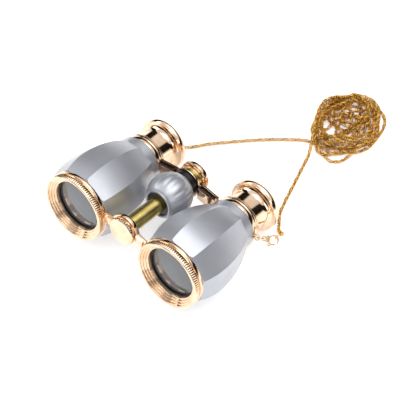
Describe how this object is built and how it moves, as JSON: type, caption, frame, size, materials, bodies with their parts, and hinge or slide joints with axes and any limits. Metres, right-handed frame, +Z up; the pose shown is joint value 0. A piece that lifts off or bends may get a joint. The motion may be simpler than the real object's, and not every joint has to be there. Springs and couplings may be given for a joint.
{
  "type": "opera glasses",
  "caption": "Low-power opera glasses with nine-sided barrels, a central focusing knob, flared eyecups and a neck chain on two clasps, lying on a table",
  "frame": {"origin": "on the table, under the middle of the glasses without their chain and clasps", "axes": "+X across the two barrels to the wearer's right, +Y from the objectives towards the eyepieces along the table, +Z up; the optical axes dip 8.81 degrees towards the eyepieces because the glasses lie on both barrels and both eyecups"},
  "size_m": [0.1034, 0.174, 0.042],
  "materials": {
    "painted_shell": "pearl grey lacquer, glossy",
    "rose_gold": "polished rose-gold plate",
    "brass_gear": "fine-turned brass",
    "black_metal": "matt black",
    "black_plastic": "matt black",
    "lens_glass": "coated",
    "chain_gold": "polished gold plate"
  },
  "bodies": {
    "eyepieces": {"focus_spindle": "brass_gear", "rear_bridge": "rose_gold", "rear_hub_sleeve": "brass_gear", "rear_hub_cap": "rose_gold", "draw_tube_left": "rose_gold", "draw_tube_right": "rose_gold", "knurled_collar_left": "rose_gold", "knurled_collar_right": "rose_gold", "eyecup_left": "rose_gold", "eyecup_right": "rose_gold", "eye_lens_left": "lens_glass", "eye_lens_right": "lens_glass", "eye_lens_ring_left": "black_metal", "eye_lens_ring_right": "black_metal", "chain_lug_left": "chain_gold", "chain_lug_right": "chain_gold", "link_ring_left": "chain_gold", "link_ring_right": "chain_gold", "clasp_body_left": "chain_gold", "clasp_body_right": "chain_gold", "clasp_rivets": "chain_gold", "chain_end_ring_left": "chain_gold", "chain_end_ring_right": "chain_gold", "chain_run_left": "chain_gold", "chain_run_right": "chain_gold", "chain_heap": "chain_gold"},
    "barrels": {"front_bridge": "rose_gold", "guide_tube": "brass_gear", "guide_tube_stop": "brass_gear", "guide_tube_lock_ring": "black_metal", "front_cap": "rose_gold", "barrel_shell_left": "painted_shell", "barrel_shell_right": "painted_shell", "slide_bush_left": "black_plastic", "slide_bush_right": "black_plastic", "objective_bezel_left": "rose_gold", "objective_bezel_right": "rose_gold", "objective_stop_ring_left": "black_metal", "objective_stop_ring_right": "black_metal", "objective_lens_left": "lens_glass", "objective_lens_right": "lens_glass", "objective_retainer_left": "black_metal", "objective_retainer_right": "black_metal"},
    "knob": {"focus_knob": "painted_shell", "knob_front_bush": "black_plastic", "spindle_nut": "brass_gear", "knob_rear_washer": "black_plastic"},
    "trigger_left": {"clasp_trigger_left": "chain_gold"},
    "trigger_right": {"clasp_trigger_right": "chain_gold"}
  },
  "joints": [
    {"name": "focus_slide", "type": "slide", "parent": "eyepieces", "child": "barrels", "axis": [0, -0.9882, 0.1532], "range_m": [0, 0.006]},
    {"name": "focus_knob_turn", "type": "hinge", "parent": "barrels", "child": "knob", "pos_m": [0, 0.00313, 0.02437], "axis": [0, -0.9882, 0.1532], "range_deg": [0, 540.01]},
    {"name": "trigger_right_swing", "type": "hinge", "parent": "eyepieces", "child": "trigger_right", "pos_m": [0.04933, 0.01828, 0.0151], "axis": [0.3954, -0.471, 0.7886], "range_deg": [0, 24], "stiffness_Nm_per_rad": 0.004, "springref_deg": -17.19},
    {"name": "trigger_left_swing", "type": "hinge", "parent": "eyepieces", "child": "trigger_left", "pos_m": [-0.04639, 0.01531, 0.01101], "axis": [0.7885, -0.5729, -0.2239], "range_deg": [0, 24], "stiffness_Nm_per_rad": 0.004, "springref_deg": -17.19}
  ],
  "couplings": [
    {"joint": "focus_knob_turn", "follows": "focus_slide", "rad_per_m": 1570.8}
  ]
}
